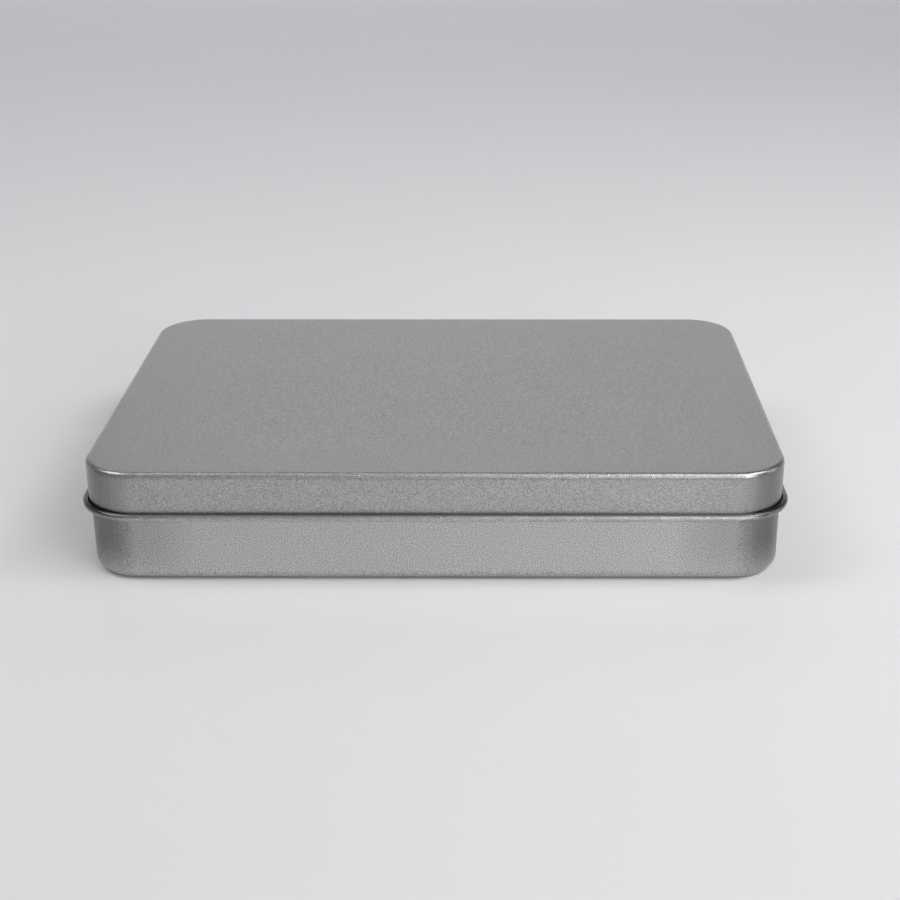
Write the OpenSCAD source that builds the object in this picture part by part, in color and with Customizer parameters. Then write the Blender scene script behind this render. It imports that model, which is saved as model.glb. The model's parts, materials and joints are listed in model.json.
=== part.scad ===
// Hinged card tin of plain tinplate: a drawn tray, a drawn lid with an outward rolled edge,
// and two wire hinge pins caught in the rolled edge at the back.
// Millimetres, +Z up, front towards -Y. The origin is under the middle of the tin, on its floor plane.

/* [Sheet] */
// Thickness of the tinplate
sheet = 0.25; // [0.2:0.05:0.35]

/* [Lid] */
// Width over the lid's skirt, left to right
lid_width = 140; // [100:1:180]
// Depth over the lid's skirt, front to back
lid_depth = 98; // [70:1:130]
// Corner radius of the lid in plan, over the skirt
lid_corner = 10.5; // [7:0.5:18]
// Outer radius of the lid's rounded top edge
lid_top_edge = 1; // [0.6:0.1:2]
// Height of the closed tin
tin_height = 23.8; // [20:0.1:40]
// Depth of the lid, from its top face to the middle of its rolled edge
lid_drop = 9.2; // [7:0.1:10]
// Gap between the raw edge of the lid's roll and the skirt
roll_slot = 0.1; // [0.05:0.05:0.25]

/* [Tray] */
// Clearance between tray and skirt at the left and right
side_clearance = 0.1; // [0.1:0.05:0.4]
// Clearance between tray and skirt at the front and back, which lets the lid swing past the rim
swing_clearance = 0.45; // [0.45:0.05:0.8]
// Outer radius of the tray's rounded bottom edge
tray_bottom_edge = 2.6; // [1:0.1:4]
// Diameter of the tray's inward rolled rim
rim_roll = 1.2; // [0.9:0.1:1.6]
// Gap between the raw edge of the rim's roll and the tray wall
rim_slot = 0.1; // [0.05:0.05:0.2]
// Gap between the rim and the underside of the closed lid
seat_gap = 0.1; // [0.05:0.05:0.3]

/* [Hinge] */
// Diameter of each hinge pin
pin_diameter = 0.9; // [0.8:0.05:1.5]
// Running clearance round a hinge pin
pin_clearance = 0.05; // [0.03:0.01:0.08]
// Length of each hinge pin
pin_length = 28; // [20:1:34]
// Distance of each hinge's middle from the end of the lid
hinge_inset = 32; // [25:1:33]
// Width of each hinge leaf, cut from the tray's back wall and rolled round its pin
leaf_width = 12; // [8:0.5:16]
// Sheared gap at each side of a leaf in the tray's wall
shear_gap = 0.1; // [0.05:0.05:0.2]
// Inner radius of the leaf's bend out of the wall
leaf_bend = 0.2; // [0.1:0.05:0.3]
// Angle through which a leaf is rolled round its pin
leaf_wrap = 290; // [250:5:300]
// Gap between a rolled leaf and each side of its window in the lid
window_side_gap = 0.3; // [0.2:0.05:0.6]
// Gap above a rolled leaf in its window in the lid
window_top_gap = 0.6; // [0.4:0.1:1.2]

/* [Hidden] */

// True circles and turned corners
$fn = 96;
// Overshoot of a cutting block past the sheet that it cuts, and length of a leaf's root in the wall
over = 0.5;

// The roll is as large as the bore that the pins need
roll_bore_r = pin_diameter / 2 + pin_clearance;
roll_r = roll_bore_r + sheet;
roll_z = tin_height - lid_drop;
lid_corner_flat = lid_corner - lid_top_edge;

// The hinge axis is the middle of the roll along the back
axis_y = lid_depth / 2 - sheet + roll_r;

tray_width = lid_width - 2 * (sheet + side_clearance);
tray_depth = lid_depth - 2 * (sheet + swing_clearance);
tray_corner = lid_corner - sheet - side_clearance;
rim_r = rim_roll / 2;
rim_z = tin_height - sheet - seat_gap - rim_r;

// A leaf leaves the wall, runs flat under the pin and is rolled up round it
leaf_flat_z = roll_z - roll_r;
leaf_foot_z = leaf_flat_z - leaf_bend;
leaf_flat = axis_y - tray_depth / 2 - leaf_bend;
leaf_bend_length = (leaf_bend + sheet / 2) * PI / 2;
leaf_roll_length = (roll_r - sheet / 2) * leaf_wrap * PI / 180;
leaf_length = leaf_bend_length + leaf_flat + leaf_roll_length;

tinplate = [0.66, 0.665, 0.675];
wire = [0.58, 0.585, 0.595];

// Flat plate with rounded corners
module rounded_plate(width, depth, corner, thick) {
    linear_extrude(thick) union() {
        square([width - 2 * corner, depth], center = true);
        square([width, depth - 2 * corner], center = true);
        for (x = [-1, 1])
            for (y = [-1, 1])
                translate([x * (width / 2 - corner), y * (depth / 2 - corner)]) circle(corner);
    }
}

// Section of a wall, drawn with its outer face on x = 0, carried round a rounded rectangle
module carried_round(width, depth, corner) {
    for (side = [0:3]) {
        out = (side % 2 == 0 ? width : depth) / 2;
        along = (side % 2 == 0 ? depth : width) / 2 - corner;
        rotate([0, 0, 90 * side]) {
            translate([out, along, 0]) rotate([90, 0, 0]) linear_extrude(2 * along) children();
            translate([out - corner, along, 0])
                rotate_extrude(angle = 90) translate([corner, 0]) children();
        }
    }
}

// Ring of sheet with the stretch from angle from to angle to cut away
module open_ring(radius, from, to) {
    middle = (from + to) / 2;
    reach = 2 * radius;
    difference() {
        circle(radius);
        circle(radius - sheet);
        polygon([
            [0, 0],
            reach * [cos(from), sin(from)],
            reach * [cos(middle), sin(middle)],
            reach * [cos(to), sin(to)]
        ]);
    }
}

// Quarter ring of sheet in the quadrant that x_side and y_side point to
module quarter_ring(radius, x_side, y_side) {
    intersection() {
        difference() {
            circle(radius);
            circle(radius - sheet);
        }
        translate([min(0, x_side * radius), min(0, y_side * radius)]) square(radius);
    }
}

// Section of the lid's edge: rounded top edge, skirt and outward roll
module lid_section() {
    roll_mouth = acos((sheet + roll_slot - roll_r) / roll_r);
    translate([-lid_top_edge, tin_height - lid_top_edge]) quarter_ring(lid_top_edge, 1, 1);
    translate([-sheet, roll_z]) square([sheet, lid_drop - lid_top_edge]);
    translate([roll_r - sheet, roll_z]) open_ring(roll_r, roll_mouth, 180);
}

// Section of the tray's edge: rounded bottom edge, wall and inward rolled rim
module tray_section() {
    rim_mouth = 360 - acos((rim_r - sheet - rim_slot) / rim_r);
    translate([-tray_bottom_edge, tray_bottom_edge]) quarter_ring(tray_bottom_edge, 1, -1);
    translate([-sheet, tray_bottom_edge]) square([sheet, rim_z - tray_bottom_edge]);
    translate([-rim_r, rim_z]) open_ring(rim_r, rim_mouth, 360);
}

// Section of a hinge leaf, across the hinge axis: x is the depth and y the height.
// It starts with the stretch of wall that the leaf is bent out of.
module leaf_section() {
    translate([tray_depth / 2 - sheet, leaf_foot_z - over]) square([sheet, over]);
    translate([tray_depth / 2 + leaf_bend, leaf_foot_z]) quarter_ring(leaf_bend + sheet, -1, 1);
    translate([axis_y - leaf_flat, leaf_flat_z]) square([leaf_flat, sheet]);
    translate([axis_y, roll_z]) open_ring(roll_r, leaf_wrap - 90, 270);
}

// Places its children, which run along +X from 0, centred on one hinge
module at_hinge(hand, length) {
    translate([hand * (lid_width / 2 - hinge_inset) - length / 2, 0, 0]) children();
}

module leaf(hand) {
    at_hinge(hand, leaf_width)
        rotate([90, 0, 90]) linear_extrude(leaf_width) leaf_section();
}

// Hole left in the tray's back wall where a leaf was cut out and bent up
module leaf_hole(hand) {
    width = leaf_width + 2 * shear_gap;
    at_hinge(hand, width)
        translate([0, tray_depth / 2 - sheet - over, leaf_foot_z])
            cube([width, sheet + 2 * over, leaf_length]);
}

// Window in the lid's back skirt and roll, which lets the rolled leaf through
module leaf_window(hand) {
    width = leaf_width + 2 * window_side_gap;
    at_hinge(hand, width)
        translate([0, lid_depth / 2 - sheet - over, roll_z - roll_r - over])
            cube([width, 2 * roll_r + 2 * over, 2 * roll_r + over + window_top_gap]);
}

module tray() {
    color(tinplate) union() {
        difference() {
            union() {
                rounded_plate(
                    tray_width - 2 * tray_bottom_edge,
                    tray_depth - 2 * tray_bottom_edge,
                    tray_corner - tray_bottom_edge,
                    sheet
                );
                carried_round(tray_width, tray_depth, tray_corner) tray_section();
            }
            leaf_hole(-1);
            leaf_hole(1);
        }
        leaf(-1);
        leaf(1);
    }
}

module lid() {
    color(tinplate) difference() {
        union() {
            translate([0, 0, tin_height - sheet])
                rounded_plate(
                    lid_width - 2 * lid_top_edge,
                    lid_depth - 2 * lid_top_edge,
                    lid_corner_flat,
                    sheet
                );
            carried_round(lid_width, lid_depth, lid_corner) lid_section();
        }
        leaf_window(-1);
        leaf_window(1);
    }
}

module hinge_pin(hand) {
    color(wire)
        at_hinge(hand, pin_length)
            translate([0, axis_y, roll_z]) rotate([0, 90, 0]) cylinder(pin_length, d = pin_diameter);
}

tray();
lid();
hinge_pin(-1);  // hinge_pin_left
hinge_pin(1);  // hinge_pin_right
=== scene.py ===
import json
import math

import bmesh
import bpy
from mathutils import Matrix, Vector


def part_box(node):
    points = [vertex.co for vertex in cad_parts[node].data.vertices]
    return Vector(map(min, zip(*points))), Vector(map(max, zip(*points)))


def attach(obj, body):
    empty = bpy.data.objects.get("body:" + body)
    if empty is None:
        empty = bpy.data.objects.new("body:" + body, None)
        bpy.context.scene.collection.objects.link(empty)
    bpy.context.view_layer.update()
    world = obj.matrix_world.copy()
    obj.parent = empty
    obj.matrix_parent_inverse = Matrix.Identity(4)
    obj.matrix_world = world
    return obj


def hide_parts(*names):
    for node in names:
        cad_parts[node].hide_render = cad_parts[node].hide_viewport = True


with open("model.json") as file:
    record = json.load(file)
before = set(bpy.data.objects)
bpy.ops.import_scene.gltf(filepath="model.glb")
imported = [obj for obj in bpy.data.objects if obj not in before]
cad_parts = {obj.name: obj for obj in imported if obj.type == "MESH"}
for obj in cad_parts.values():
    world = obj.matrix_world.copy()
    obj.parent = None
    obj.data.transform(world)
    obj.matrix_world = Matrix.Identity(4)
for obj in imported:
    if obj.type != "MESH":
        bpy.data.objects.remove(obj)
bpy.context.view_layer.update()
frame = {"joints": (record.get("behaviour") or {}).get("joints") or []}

MM = 0.001

# Sizes read from the frame
tray_low, tray_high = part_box("tray")
lid_low, lid_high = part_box("lid")
pin_low, pin_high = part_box("hinge_pin_right")
hinge_axis = Vector(frame["joints"][0]["pos_m"])
tin_height = lid_high.z
roll_r = hinge_axis.z - lid_low.z
pin_r = (pin_high.z - pin_low.z) / 2
pin_length = pin_high.x - pin_low.x
hinge_middle_x = (pin_low.x + pin_high.x) / 2

# Sheet, bends and clearances of the two pressings
sheet = 0.25 * MM
lid_corner = 10.5 * MM
lid_top_edge = 1.0 * MM
lid_sink = 0.06 * MM
roll_slot = 0.1 * MM
corner_roll_slot = 0.4 * MM
side_clearance = 0.1 * MM
tray_bottom_edge = 2.6 * MM
tray_bottom_rise = 0.05 * MM
rim_r = 0.6 * MM
rim_slot = 0.1 * MM
leaf_width = 12 * MM
leaf_bend = 0.2 * MM
leaf_wrap = math.radians(290)
shear_gap = 0.1 * MM
window_side_gap = 0.3 * MM
window_top_gap = 0.6 * MM

# Spread of the drawing round a corner, which also spreads the painted shade that darkens the corners: its
# reach along the straight sides, what is left of it where a side begins, and the height up the tray's wall at
# which it is full
corner_reach = 12 * MM
edge_drawn_and_shade = 0.12
corner_rise = 9 * MM

# Steps of the meshes, the slack allowed when two heights are compared, how close points are welded and the
# angle from which an edge is sharp
side_step = 2 * MM
corner_steps = 28
lid_wall_step = 0.5 * MM
tray_wall_step = 0.8 * MM
height_slack = 0.01 * MM
weld_distance = 0.0005 * MM
sharp_angle = math.radians(40)

# Sizes that follow
bead_proud = 2 * roll_r - sheet
lid_half_width = lid_high.x - bead_proud
lid_half_depth = lid_high.y - bead_proud
tray_half_width = tray_high.x
tray_half_depth = -tray_low.y
tray_corner = lid_corner - sheet - side_clearance
rim_z = tray_high.z - rim_r
leaf_flat_z = hinge_axis.z - roll_r
leaf_foot_z = leaf_flat_z - leaf_bend
leaf_roll_mid_r = roll_r - sheet / 2
leaf_length = (
    (leaf_bend + sheet / 2) * math.pi / 2
    + hinge_axis.y - tray_half_depth - leaf_bend
    + leaf_roll_mid_r * leaf_wrap
)
leaf_hole_top = leaf_foot_z + leaf_length
window_top = hinge_axis.z + roll_r + window_top_gap


def smooth(t):
    """0 below 0, 1 above 1 and an even blend between."""
    t = min(1.0, max(0.0, t))
    return t * t * (3 - 2 * t)


# Outline of a pressing in plan

class Station:
    """A place on a pressing's outline: its point, its outward direction and how far the sheet is drawn, which
    also sets how much painted shade darkens it round a corner.
    """

    def __init__(self, x, y, out_x, out_y, drawn):
        self.x, self.y, self.out_x, self.out_y, self.drawn = x, y, out_x, out_y, drawn


def spaced(low, high, step, stops=()):
    """Even places from low to high, with each stop among them and none crowding a stop."""
    count = max(1, round((high - low) / step))
    nearest = step * 0.3
    places = [low + (high - low) * i / count for i in range(count + 1)]
    kept = [p for p in places if all(abs(p - s) > nearest for s in stops)]
    return sorted(set(kept) | set(stops) | {low, high})


def outline(half_width, half_depth, corner, stops):
    """Stations round a rounded rectangle, anticlockwise from the front of the right side. Stops are x places
    along the back."""
    stations = []
    sides = [
        ((1, 0), half_width, half_depth, ()),
        ((0, 1), half_depth, half_width, [-x for x in stops]),
        ((-1, 0), half_width, half_depth, ()),
        ((0, -1), half_depth, half_width, ()),
    ]
    for (out_x, out_y), out, half_run, side_stops in sides:
        run = half_run - corner
        for place in spaced(-run, run, side_step, side_stops):
            x = out_x * out - out_y * place
            y = out_y * out + out_x * place
            drawn = edge_drawn_and_shade * smooth(1 - (run - abs(place)) / corner_reach)
            stations.append(Station(x, y, out_x, out_y, drawn))
        middle_x = out_x * (out - corner) - out_y * run
        middle_y = out_y * (out - corner) + out_x * run
        for i in range(1, corner_steps):
            angle = math.pi / 2 * i / corner_steps
            cos, sin = math.cos(angle), math.sin(angle)
            turned_x = out_x * cos - out_y * sin
            turned_y = out_y * cos + out_x * sin
            drawn = edge_drawn_and_shade + (1 - edge_drawn_and_shade) * math.sin(2 * angle)
            x, y = middle_x + corner * turned_x, middle_y + corner * turned_y
            stations.append(Station(x, y, turned_x, turned_y, drawn))
    return stations


# Section of a pressing

class Row:
    """One row of a section: where the sheet's face and back lie, as (distance out from the wall's outer face,
    height), its scale about the middle of the tin, how tightly the sheet is bent there, how much of the
    drawing round a corner, and of the painted shade that goes with it, reaches it, and how much painted shade
    darkens it."""

    def __init__(self, face, back, shrink=1.0, bend=0.0, drawn=1.0, painted_shade=0.0):
        self.face, self.back, self.shrink = face, back, shrink
        self.bend, self.drawn, self.painted_shade = bend, drawn, painted_shade


def arc_rows(middle, face_r, back_r, start, end, steps, bend, skip_first=True):
    """Rows round an arc, from angle start to angle end, with the angle measured from outwards towards up. The
    first is skipped where the stretch before it already ends there."""
    rows = []
    for i in range(1 if skip_first else 0, steps + 1):
        angle = start + (end - start) * i / steps
        cos, sin = math.cos(angle), math.sin(angle)
        face = (middle[0] + face_r * cos, middle[1] + face_r * sin)
        back = (middle[0] + back_r * cos, middle[1] + back_r * sin)
        rows.append(Row(face, back, bend=bend))
    return rows


def panel_rows(edge_inset, height, depth, rings, sink):
    """Rows from the middle of a flat panel out to its edge, in rings that lie closer together towards it. The
    middle lies lower by sink, as in drawn sheet."""
    rows = []
    for i in range(rings + 1):
        shrink = (i / rings) ** 0.8
        face_z = height - sink * (1 - smooth(shrink ** 2))
        rows.append(Row((-edge_inset, face_z), (-edge_inset, face_z - depth), shrink, drawn=0.0))
    return rows


def lid_rows(slot):
    """The lid's section: panel, rounded top edge, skirt and outward roll. The roll's raw edge stops short of
    the skirt by slot."""
    bend_z = tin_height - lid_top_edge
    panel = panel_rows(lid_top_edge, tin_height, sheet, rings=30, sink=lid_sink)
    edge = arc_rows(
        (-lid_top_edge, bend_z), lid_top_edge, lid_top_edge - sheet, math.pi / 2, 0, steps=14, bend=1.0
    )
    for i, row in enumerate(edge):
        row.drawn = smooth((i + 1) / len(edge))
    # Painted shade: a faint dark line under the rounded edge
    edge[-2].painted_shade, edge[-1].painted_shade = 0.2, 0.5
    skirt = [
        Row((0, z), (-sheet, z))
        for z in reversed(spaced(hinge_axis.z, bend_z, lid_wall_step, [window_top])[:-1])
    ]
    mouth = math.acos((sheet + slot - roll_r) / roll_r)
    roll = arc_rows(
        (roll_r - sheet, hinge_axis.z), roll_r - sheet, roll_r,
        math.pi, 2 * math.pi + mouth, steps=44, bend=1.0,
    )
    # Painted shade in the seam between roll and skirt covers the crest of the roll's outer half
    for row in roll[len(roll) // 2:]:
        rise = (row.back[1] - hinge_axis.z) / roll_r
        row.painted_shade = smooth(rise * 3 - 1.4)
    return panel + edge + skirt + roll


def tray_rows():
    """The tray's section: bottom, rounded bottom edge, wall and inward rolled rim."""
    panel = panel_rows(tray_bottom_edge, 0, -sheet, rings=26, sink=-tray_bottom_rise)
    edge = arc_rows(
        (-tray_bottom_edge, tray_bottom_edge), tray_bottom_edge, tray_bottom_edge - sheet,
        -math.pi / 2, 0, steps=18, bend=0.35,
    )
    stops = [leaf_foot_z, leaf_hole_top]
    wall = [
        Row((0, z), (-sheet, z))
        for z in spaced(tray_bottom_edge, rim_z, tray_wall_step, stops)[1:]
    ]
    # The drawing, and the painted corner shade with it, fades out towards the bottom of the wall
    for row in edge + wall:
        row.drawn = smooth(row.face[1] / corner_rise)
    mouth = 2 * math.pi - math.acos((rim_r - sheet - rim_slot) / rim_r)
    rim = arc_rows((-rim_r, rim_z), rim_r, rim_r - sheet, 0, mouth, steps=36, bend=1.0)
    return panel + edge + wall + rim


# Meshes

def mark_layers(bm):
    """Layers that the finishes read: how tightly the sheet is bent, how far it is drawn round a corner, which
    also sets the painted corner shade, how much painted shade darkens it at each point, and which faces are
    cut edges."""
    verts = bm.verts.layers.float
    return verts.new("bend"), verts.new("drawn"), verts.new("painted_shade"), bm.faces.layers.float.new("cut")


def sheet_mesh(place, columns, rows, present, closed, drawn_at):
    """A bmesh of thick sheet. place(column, side, row number) gives the point on the sheet's face or back.
    present(column, row number) says whether the cell that starts there is metal, and drawn_at(column) how far
    the sheet is drawn there, which also sets its painted corner shade. Every open edge of a cell is walled
    with a cut edge."""
    bm = bmesh.new()
    bend, drawn, painted_shade, cut = mark_layers(bm)
    faces, backs = {}, {}
    for j in range(columns):
        for i, row in enumerate(rows):
            for side, points in (("face", faces), ("back", backs)):
                vert = bm.verts.new(place(j, side, i))
                vert[bend], vert[drawn], vert[painted_shade] = row.bend, drawn_at(j) * row.drawn, row.painted_shade
                points[j, i] = vert
    last = columns if closed else columns - 1

    def metal(j, i):
        if closed:
            j %= columns
        elif not 0 <= j < last:
            return False
        return 0 <= i < len(rows) - 1 and present(j, i)

    def wall(points):
        quad = [faces[points[0]], faces[points[1]], backs[points[1]], backs[points[0]]]
        bm.faces.new(quad)[cut] = 1.0

    for j in range(last):
        k = (j + 1) % columns
        for i in range(len(rows) - 1):
            if not metal(j, i):
                continue
            bm.faces.new([faces[j, i], faces[j, i + 1], faces[k, i + 1], faces[k, i]])
            bm.faces.new([backs[k, i], backs[k, i + 1], backs[j, i + 1], backs[j, i]])
            if not metal(j - 1, i):
                wall([(j, i + 1), (j, i)])
            if not metal(j + 1, i):
                wall([(k, i), (k, i + 1)])
            if not metal(j, i - 1) and rows[i].shrink > 0:
                wall([(j, i), (k, i)])
            if not metal(j, i + 1):
                wall([(k, i + 1), (j, i + 1)])
    return bm


def weld(bm):
    """Joins points that coincide and removes the walls between pieces of sheet that meet."""
    bmesh.ops.remove_doubles(bm, verts=bm.verts, dist=weld_distance)
    seen = {}
    for face in bm.faces:
        seen.setdefault(frozenset(v.index for v in face.verts), []).append(face)
    inner = [f for same in seen.values() if len(same) > 1 for f in same]
    bmesh.ops.delete(bm, geom=inner, context="FACES")
    bmesh.ops.recalc_face_normals(bm, faces=bm.faces)


def finished(bm, name):
    """Object of a bmesh, smooth but for its sharp corners."""
    weld(bm)
    mesh = bpy.data.meshes.new(name)
    bm.to_mesh(mesh)
    bm.free()
    mesh.polygons.foreach_set("use_smooth", [True] * len(mesh.polygons))
    mesh.set_sharp_from_angle(angle=sharp_angle)
    piece = bpy.data.objects.new(name, mesh)
    bpy.context.scene.collection.objects.link(piece)
    return piece


def between(a, b, share):
    """The row that lies share of the way from row a to row b."""
    def mixed(p, q):
        return tuple(u + (v - u) * share for u, v in zip(p, q))
    return Row(mixed(a.face, b.face), mixed(a.back, b.back), a.shrink)


def carried_round(stations, rows, corner_rows, present):
    """A section carried round an outline, which changes to the corner section as the sheet is drawn more."""
    def place(j, side, i):
        s, row = stations[j], between(rows[i], corner_rows[i], stations[j].drawn)
        out, z = getattr(row, side)
        return (s.x + s.out_x * out) * row.shrink, (s.y + s.out_y * out) * row.shrink, z

    return sheet_mesh(place, len(stations), rows, present, True, lambda j: stations[j].drawn)


def within(stations, j, half):
    """Whether the cell after station j is at a hinge, within half of the hinge's middle."""
    a, b = stations[j], stations[(j + 1) % len(stations)]
    x = (a.x + b.x) / 2
    return a.out_y == b.out_y == 1 and abs(abs(x) - hinge_middle_x) < half


def hinge_stops(*halves):
    """x places at each hinge, half to each side of its middle."""
    return [hand * hinge_middle_x + side * half for hand in (-1, 1) for side in (-1, 1) for half in halves]


def make_lid():
    half = leaf_width / 2 + window_side_gap
    stations = outline(lid_half_width, lid_half_depth, lid_corner, hinge_stops(half))
    rows, corner_rows = lid_rows(roll_slot), lid_rows(corner_roll_slot)

    def present(j, i):
        in_window = rows[i].shrink == 1 and rows[i].face[1] < window_top + height_slack
        return not (in_window and within(stations, j, half))

    return finished(carried_round(stations, rows, corner_rows, present), "tin_lid")


def add_leaf(bm, hand):
    """One hinge leaf: bent out of the wall, flat under the pin and rolled up round it."""
    bend_middle = (tray_half_depth + leaf_bend, leaf_foot_z)
    rows = arc_rows(
        bend_middle, leaf_bend, leaf_bend + sheet,
        math.pi, math.pi / 2, steps=6, bend=1.0, skip_first=False,
    )
    rows += arc_rows(
        (hinge_axis.y, hinge_axis.z), roll_r, roll_r - sheet,
        -math.pi / 2, leaf_wrap - math.pi / 2, steps=40, bend=1.0, skip_first=False,
    )
    left = hand * hinge_middle_x - leaf_width / 2
    places = spaced(left, left + leaf_width, side_step)
    part = sheet_mesh(
        lambda j, side, i: (places[j], *getattr(rows[i], side)),
        len(places), rows, lambda j, i: True, False, lambda j: 0.0,
    )
    mesh = bpy.data.meshes.new("leaf")
    part.to_mesh(mesh)
    part.free()
    bm.from_mesh(mesh)
    bpy.data.meshes.remove(mesh)


def make_tray():
    half_leaf = leaf_width / 2
    half_hole = half_leaf + shear_gap
    stations = outline(
        tray_half_width, tray_half_depth, tray_corner, hinge_stops(half_leaf, half_hole)
    )
    rows = tray_rows()

    def present(j, i):
        low, high = rows[i].face[1], rows[i + 1].face[1]
        above_foot, below_top = low > leaf_foot_z - height_slack, high < leaf_hole_top + height_slack
        in_hole = above_foot and below_top and rows[i].bend == 0
        return not (in_hole and within(stations, j, half_hole))

    bm = carried_round(stations, rows, rows, present)
    for hand in (-1, 1):
        add_leaf(bm, hand)
    return finished(bm, "tin_tray")


def make_pin(hand):
    """A length of drawn wire with its ends nipped off: pinched to a low ridge across."""
    around, body_steps, nip = 32, 12, 0.35 * MM
    low, high = (hand * hinge_middle_x + side * pin_length / 2 for side in (-1, 1))
    # Shape of a nipped end: shares of its length, and the share of the wire's height that is left there
    end_shape = [(0.0, 0.62), (0.3, 0.84), (0.7, 0.97)]
    rings = [(low + t * nip, flat) for t, flat in end_shape]
    rings += [(low + nip + (high - low - 2 * nip) * i / body_steps, 1.0) for i in range(body_steps + 1)]
    rings += [(high - t * nip, flat) for t, flat in reversed(end_shape)]
    bm = bmesh.new()
    cut = mark_layers(bm)[-1]
    loops = []
    for x, flat in rings:
        # A nipped end is a little narrower too
        narrow = 0.85 + 0.15 * flat
        loop = []
        for k in range(around):
            angle = 2 * math.pi * k / around
            y = hinge_axis.y + pin_r * math.cos(angle) * narrow
            z = hinge_axis.z + pin_r * math.sin(angle) * flat
            loop.append(bm.verts.new((x, y, z)))
        loops.append(loop)
    for a, b in zip(loops, loops[1:]):
        for k in range(around):
            n = (k + 1) % around
            bm.faces.new([a[k], a[n], b[n], b[k]])
    bm.faces.new(reversed(loops[0]))[cut] = 1.0
    bm.faces.new(loops[-1])[cut] = 1.0
    return finished(bm, f"tin_pin_{'left' if hand < 0 else 'right'}")


# Shader building

def add(tree, kind, inputs=None, **settings):
    """A node with its settings and inputs. An input is a plain value or another node's output."""
    node = tree.nodes.new(kind)
    for name, value in settings.items():
        setattr(node, name, value)
    for name, value in (inputs or {}).items():
        if isinstance(value, bpy.types.NodeSocket):
            tree.links.new(value, node.inputs[name])
        else:
            node.inputs[name].default_value = value
    return node


def group_tree(name, inputs, outputs):
    """An empty shader node group, with float inputs as {name: value} and outputs as {name: socket type}."""
    tree = bpy.data.node_groups.new(name, "ShaderNodeTree")
    for label, value in inputs.items():
        socket = tree.interface.new_socket(label, in_out="INPUT", socket_type="NodeSocketFloat")
        socket.default_value = value
    for label, kind in outputs.items():
        tree.interface.new_socket(label, in_out="OUTPUT", socket_type=kind)
    return tree, add(tree, "NodeGroupInput"), add(tree, "NodeGroupOutput")


def maths(tree, operation, a, b):
    return add(tree, "ShaderNodeMath", {0: a, 1: b}, operation=operation).outputs[0]


def ramp(tree, value, low, high, out_low=0.0, out_high=1.0):
    """value from low to high, spread from out_low to out_high."""
    spread = {"Value": value, "From Min": low, "From Max": high, "To Min": out_low, "To Max": out_high}
    return add(tree, "ShaderNodeMapRange", spread).outputs["Result"]


def blend(tree, share, a, b):
    inputs = {"Factor": share, "A": a, "B": b}
    return add(tree, "ShaderNodeMix", inputs, data_type="FLOAT").outputs["Result"]


def noise(tree, place, scale, detail, roughness):
    inputs = {"Vector": place, "Scale": scale, "Detail": detail, "Roughness": roughness}
    return add(tree, "ShaderNodeTexNoise", inputs).outputs["Fac"]


def matte_tin_grain():
    """The fine even grain of matte tinplate. Drawn is 0 on flat sheet and 1 where the sheet is drawn round a
    corner, which flattens the grain and draws upright lines in it. Grain is its height, Speck the same with
    more contrast and Streak the lines, each from 0 to 1 and 0.5 where there is none."""
    tree, given, out = group_tree(
        "matte_tin_grain",
        {"Drawn": 0.0, "Crystals per metre": 4700.0},
        {"Grain": "NodeSocketFloat", "Speck": "NodeSocketFloat", "Streak": "NodeSocketFloat"},
    )
    place = add(tree, "ShaderNodeTexCoord").outputs["Object"]
    size = given.outputs["Crystals per metre"]
    kept = ramp(tree, given.outputs["Drawn"], 0.0, 1.0, 1.0, 0.3)
    grain = blend(tree, kept, 0.5, noise(tree, place, size, 1.5, 0.55))
    upwards = add(tree, "ShaderNodeMapping", {"Vector": place, "Scale": (1.0, 1.0, 0.05)}).outputs["Vector"]
    lines = noise(tree, upwards, maths(tree, "MULTIPLY", size, 0.3), 3.0, 0.6)
    streak = blend(tree, given.outputs["Drawn"], 0.5, ramp(tree, lines, 0.3, 0.7))
    tree.links.new(grain, out.inputs["Grain"])
    tree.links.new(ramp(tree, grain, 0.3, 0.7), out.inputs["Speck"])
    tree.links.new(streak, out.inputs["Streak"])
    return tree


def handling():
    """Marks of handling: broad faint clouds, smudges and small rubbed spots, each from 0 to 1."""
    tree, given, out = group_tree(
        "handling",
        {"Patches per metre": 26.0},
        {"Cloud": "NodeSocketFloat", "Smudge": "NodeSocketFloat", "Rub": "NodeSocketFloat"},
    )
    place = add(tree, "ShaderNodeTexCoord").outputs["Object"]
    size = given.outputs["Patches per metre"]
    cloud = noise(tree, place, size, 3.0, 0.55)
    smudge = noise(tree, place, maths(tree, "MULTIPLY", size, 4.0), 4.0, 0.6)
    rub = noise(tree, place, maths(tree, "MULTIPLY", size, 24.0), 2.0, 0.5)
    tree.links.new(ramp(tree, cloud, 0.3, 0.7), out.inputs["Cloud"])
    tree.links.new(ramp(tree, smudge, 0.45, 0.75), out.inputs["Smudge"])
    tree.links.new(ramp(tree, rub, 0.45, 0.65), out.inputs["Rub"])
    return tree


def mark(tree, name):
    """One of the layers that mark_layers made."""
    return add(tree, "ShaderNodeAttribute", attribute_name=name).outputs["Fac"]


def new_material(name):
    """A material, with its node tree and its Principled shader."""
    material = bpy.data.materials.new(name)
    material.use_nodes = True
    tree = material.node_tree
    return material, tree, tree.nodes["Principled BSDF"]


def grey(tree, value, warm):
    """A colour near grey. warm shifts it from cool, below 0, to warm, above 0."""
    red = maths(tree, "MULTIPLY", value, 1 + warm)
    blue = maths(tree, "MULTIPLY", value, 1 - warm)
    return add(tree, "ShaderNodeCombineColor", {"Red": red, "Green": value, "Blue": blue}).outputs["Color"]


def product(tree, *values):
    """Values multiplied together."""
    result = values[0]
    for value in values[1:]:
        result = maths(tree, "MULTIPLY", result, value)
    return result


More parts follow.
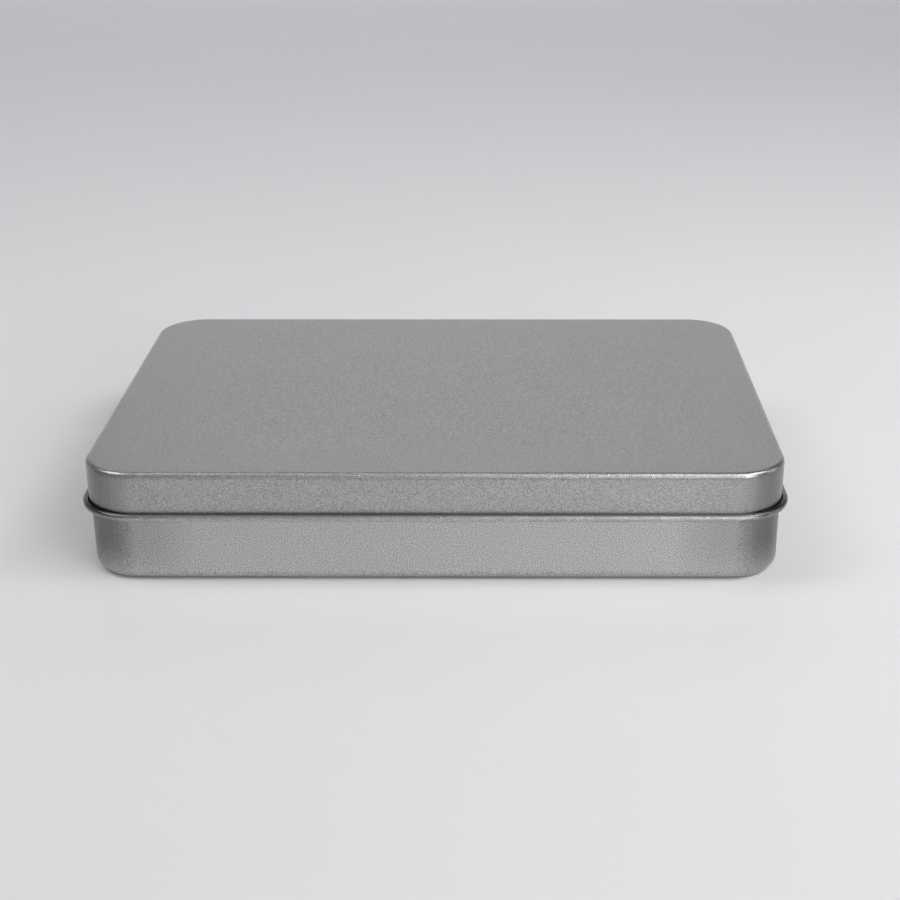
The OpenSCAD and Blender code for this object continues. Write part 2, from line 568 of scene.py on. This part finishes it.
def matte_tinplate(name, groups, brightness, contrast, corner_painted_shade, corner_spread, roughness):
    """Matte tinplate: bare tin with a fine sparkling grain of the given contrast. Round the corners it is
    streaked, and painted shade darkens it there to the given share of its brightness, which a larger
    corner_spread carries further out along the sides. It is smoother and rubbed brighter where it is bent
    tight, darkened by painted shade under the top edge and over the roll's crest, and shows the steel where
    it is cut."""
    material, tree, shader = new_material(name)
    bend, drawn, painted_shade, cut = (mark(tree, layer) for layer in ("bend", "drawn", "painted_shade", "cut"))
    grain = add(tree, "ShaderNodeGroup", {"Drawn": drawn}, node_tree=groups["grain"]).outputs
    worn = add(tree, "ShaderNodeGroup", node_tree=groups["handling"]).outputs
    rubbed = product(tree, bend, worn["Rub"])
    corner = maths(tree, "POWER", drawn, 1 / corner_spread)
    value = product(
        tree,
        ramp(tree, grain["Speck"], 0.0, 1.0, brightness * (1 - contrast), brightness * (1 + contrast)),
        ramp(tree, worn["Cloud"], 0.0, 1.0, 0.985, 1.015),
        # Painted shade round the corners
        ramp(tree, corner, 0.0, 1.0, 1.0, corner_painted_shade),
        ramp(tree, grain["Streak"], 0.0, 1.0, 0.92, 1.08),
        ramp(tree, rubbed, 0.0, 1.0, 1.0, 1.15),
        # Painted shade under the top edge and over the roll's crest
        ramp(tree, painted_shade, 0.0, 1.0, 1.0, 0.5),
        ramp(tree, cut, 0.0, 1.0, 1.0, 0.8),
    )
    shader.inputs["Metallic"].default_value = 1.0
    tree.links.new(grey(tree, value, 0.015), shader.inputs["Base Color"])
    rough = product(
        tree,
        ramp(tree, grain["Grain"], 0.3, 0.7, roughness * 1.1, roughness * 0.9),
        ramp(tree, worn["Smudge"], 0.0, 1.0, 1.0, 1.06),
        ramp(tree, bend, 0.0, 1.0, 1.0, 0.8),
        ramp(tree, drawn, 0.0, 1.0, 1.0, 0.85),
        ramp(tree, rubbed, 0.0, 1.0, 1.0, 0.85),
    )
    tree.links.new(rough, shader.inputs["Roughness"])
    crests = product(tree, maths(tree, "SUBTRACT", grain["Grain"], 0.5), ramp(tree, bend, 0.0, 1.0, 1.0, 2.4))
    height = maths(tree, "ADD", crests, product(tree, grain["Streak"], 0.25))
    bump = add(tree, "ShaderNodeBump", {"Height": height, "Distance": 0.03 * MM, "Strength": 0.9})
    tree.links.new(bump.outputs["Normal"], shader.inputs["Normal"])
    return material


def drawn_wire():
    """Bright drawn steel wire, with fine lines along it."""
    material, tree, shader = new_material("drawn_wire")
    place = add(tree, "ShaderNodeTexCoord").outputs["Object"]
    along = add(tree, "ShaderNodeMapping", {"Vector": place, "Scale": (0.03, 1.0, 1.0)}).outputs["Vector"]
    lines = noise(tree, along, 9000.0, 2.0, 0.6)
    value = ramp(tree, lines, 0.3, 0.7, 0.40, 0.52)
    shader.inputs["Metallic"].default_value = 1.0
    tree.links.new(grey(tree, value, 0.01), shader.inputs["Base Color"])
    tree.links.new(ramp(tree, lines, 0.3, 0.7, 0.26, 0.4), shader.inputs["Roughness"])
    bump = add(tree, "ShaderNodeBump", {"Height": lines, "Distance": 0.01 * MM, "Strength": 0.6})
    tree.links.new(bump.outputs["Normal"], shader.inputs["Normal"])
    return material


def pale_table():
    """The pale sheet that the tin stands on: matte and faintly cloudy, with painted light that makes it
    palest just behind the tin, darker in front and far behind, and paler and bluer further out. Its far wall,
    which no lamp faces, has a painted glow that only the camera sees, so it shows nearly as pale."""
    material, tree, shader = new_material("pale_table")
    place = add(tree, "ShaderNodeTexCoord").outputs["Object"]
    distance = add(tree, "ShaderNodeVectorMath", {0: place}, operation="LENGTH").outputs["Value"]
    back = add(tree, "ShaderNodeSeparateXYZ", {"Vector": place}).outputs["Y"]
    clouds = noise(tree, place, 14.0, 4.0, 0.6)
    # Faint clouds, with painted light that is darker in front of the tin and far behind it, palest just
    # behind it
    shade = product(
        tree,
        ramp(tree, clouds, 0.3, 0.7, 0.992, 1.008),
        ramp(tree, back, -0.16, 0.14, 0.85, 1.0),
        ramp(tree, back, 0.4, 0.85, 1.0, 0.925),
    )
    # Painted light: the sheet grows paler and bluer further out
    near, far = (0.942, 0.938, 0.952), (0.98, 0.965, 1.0)
    parts = [product(tree, shade, ramp(tree, distance, 0.15, 0.9, n, f)) for n, f in zip(near, far)]
    colour = add(tree, "ShaderNodeCombineColor", dict(zip(("Red", "Green", "Blue"), parts)))
    tree.links.new(colour.outputs["Color"], shader.inputs["Base Color"])
    shader.inputs["Roughness"].default_value = 0.6
    shader.inputs["Specular IOR Level"].default_value = 0.25
    # Painted glow, seen only by the camera, on the far wall
    seen = add(tree, "ShaderNodeLightPath").outputs["Is Camera Ray"]
    painted_glow = product(tree, seen, ramp(tree, distance, 1.1, 1.6, 0.0, 0.4))
    shader.inputs["Emission Color"].default_value = (0.95, 0.95, 1.0, 1.0)
    tree.links.new(painted_glow, shader.inputs["Emission Strength"])
    return material


# Stage

def make_sweep():
    """A pale sweep: a round table top that curves up into a low wall far out around the tin."""
    flat_r, curve_r, wall_top, around, curve_steps = 1.5, 0.5, 1.3, 128, 16
    profile = [(flat_r * share, 0.0) for share in (0.1, 0.25, 0.5, 0.75, 1.0)]
    for i in range(1, curve_steps + 1):
        angle = math.pi / 2 * i / curve_steps
        profile.append((flat_r + curve_r * math.sin(angle), curve_r * (1 - math.cos(angle))))
    profile.append((flat_r + curve_r, wall_top))
    bm = bmesh.new()
    rings = []
    for radius, z in profile:
        turns = [2 * math.pi * k / around for k in range(around)]
        rings.append([bm.verts.new((radius * math.cos(t), radius * math.sin(t), z)) for t in turns])
    bm.faces.new(rings[0])
    for a, b in zip(rings, rings[1:]):
        for k in range(around):
            n = (k + 1) % around
            bm.faces.new([a[k], b[k], b[n], a[n]])
    mesh = bpy.data.meshes.new("sweep")
    bm.to_mesh(mesh)
    bm.free()
    mesh.polygons.foreach_set("use_smooth", [True] * len(mesh.polygons))
    sweep = bpy.data.objects.new("sweep", mesh)
    bpy.context.scene.collection.objects.link(sweep)
    sweep.data.materials.append(pale_table())


def soft_light(name, turn, rise, distance, size, radiance, colour):
    """A soft rectangular lamp that faces the tin, placed by its turn from the back towards the right and its
    rise above the table, both in degrees. Its power follows from its radiance and its size."""
    turn, rise = math.radians(turn), math.radians(rise)
    way = Vector((math.sin(turn) * math.cos(rise), math.cos(turn) * math.cos(rise), math.sin(rise)))
    lamp = bpy.data.lights.new(name, "AREA")
    lamp.shape = "RECTANGLE"
    lamp.size, lamp.size_y = size
    lamp.energy = radiance * math.pi * size[0] * size[1]
    lamp.color = colour
    holder = bpy.data.objects.new(name, lamp)
    bpy.context.scene.collection.objects.link(holder)
    holder.location = way * distance
    holder.rotation_euler = (-way).to_track_quat("-Z", "Y").to_euler()


def make_lights():
    cool, plain, warm = (0.945, 0.965, 1.0), (1.0, 1.0, 1.0), (1.0, 0.98, 0.945)
    # Name, turn, rise, distance, size, radiance and colour
    soft_light("right_key", 125, 50, 0.65, (0.54, 0.23), 5.0, plain)
    soft_light("right_low", 150, 14, 1.2, (0.62, 0.42), 4.8, warm)
    soft_light("right_side", 90, 16, 1.2, (0.50, 0.42), 1.6, plain)
    soft_light("front_spot", 180, 50, 0.65, (0.18, 0.23), 1.4, plain)
    soft_light("overhead", 0, 90, 0.65, (0.23, 0.23), 1.1, plain)
    soft_light("left_spot", 260, 50, 0.65, (0.18, 0.23), 2.1, plain)
    soft_light("left_front", 225, 38, 1.2, (0.78, 0.42), 0.5, plain)
    soft_light("left_far", 270, 60, 2.0, (1.0, 1.0), 2.0, plain)
    soft_light("back_low", 0, 10, 1.2, (2.0, 0.26), 0.90, cool)
    soft_light("back_high", 0, 38, 1.2, (0.78, 0.42), 0.87, cool)
    world = bpy.data.worlds.new("room")
    world.use_nodes = True
    room = world.node_tree.nodes["Background"]
    room.inputs["Color"].default_value = (0.95, 0.97, 1.0, 1.0)
    room.inputs["Strength"].default_value = 0.08
    bpy.context.scene.world = world


# Camera, found by a pinhole fit to the tin's outline in the photograph. Its lens is in pixels of the
# photograph and its angles are in radians.

image_size = 900
focal_pixels = 1622.5
principal_column = 490.0
camera_place = (11.9275 * MM, -338.6969 * MM, 149.3237 * MM)
camera_yaw, camera_pitch, camera_roll = -0.0030, 0.3941, -0.0006


def make_camera():
    lens = bpy.data.cameras.new("camera")
    lens.sensor_fit = "HORIZONTAL"
    lens.sensor_width = 36
    lens.lens = focal_pixels / image_size * lens.sensor_width
    lens.shift_x = (image_size / 2 - principal_column) / image_size
    lens.clip_start, lens.clip_end = 0.01, 20
    camera = bpy.data.objects.new("camera", lens)
    bpy.context.scene.collection.objects.link(camera)
    forward = Vector((
        math.sin(camera_yaw) * math.cos(camera_pitch),
        math.cos(camera_yaw) * math.cos(camera_pitch),
        -math.sin(camera_pitch),
    ))
    level = Vector((math.cos(camera_yaw), -math.sin(camera_yaw), 0))
    upright = level.cross(forward)
    right = level * math.cos(camera_roll) + upright * math.sin(camera_roll)
    up = upright * math.cos(camera_roll) - level * math.sin(camera_roll)
    turn = Matrix((right, up, -forward)).transposed()
    camera.matrix_world = Matrix.Translation(camera_place) @ turn.to_4x4()
    bpy.context.scene.camera = camera


def dress(piece, material, body, node):
    """Gives a piece its finish and its CAD body, and hides the CAD node that it stands for."""
    piece.data.materials.append(material)
    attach(piece, body)
    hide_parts(node)


groups = {"grain": matte_tin_grain(), "handling": handling()}
# The tray and the lid are one tinplate; their copies differ in brightness, grain contrast and corner shade as
# painted light and shade, the tray's painted lighter and the lid's darker.
tray_tin_painted_lighter = matte_tinplate(
    "tray_matte_tinplate_painted_lighter", groups,
    brightness=0.50, contrast=0.56, corner_painted_shade=0.34, corner_spread=2.0, roughness=0.40,
)
lid_tin_painted_darker = matte_tinplate(
    "lid_matte_tinplate_painted_darker", groups,
    brightness=0.43, contrast=0.38, corner_painted_shade=0.52, corner_spread=1.1, roughness=0.40,
)
wire = drawn_wire()

dress(make_tray(), tray_tin_painted_lighter, "tray", "tray")
dress(make_lid(), lid_tin_painted_darker, "lid", "lid")
dress(make_pin(-1), wire, "lid", "hinge_pin_left")
dress(make_pin(1), wire, "lid", "hinge_pin_right")

make_sweep()
make_lights()
make_camera()
bpy.context.scene.view_settings.view_transform = "Standard"
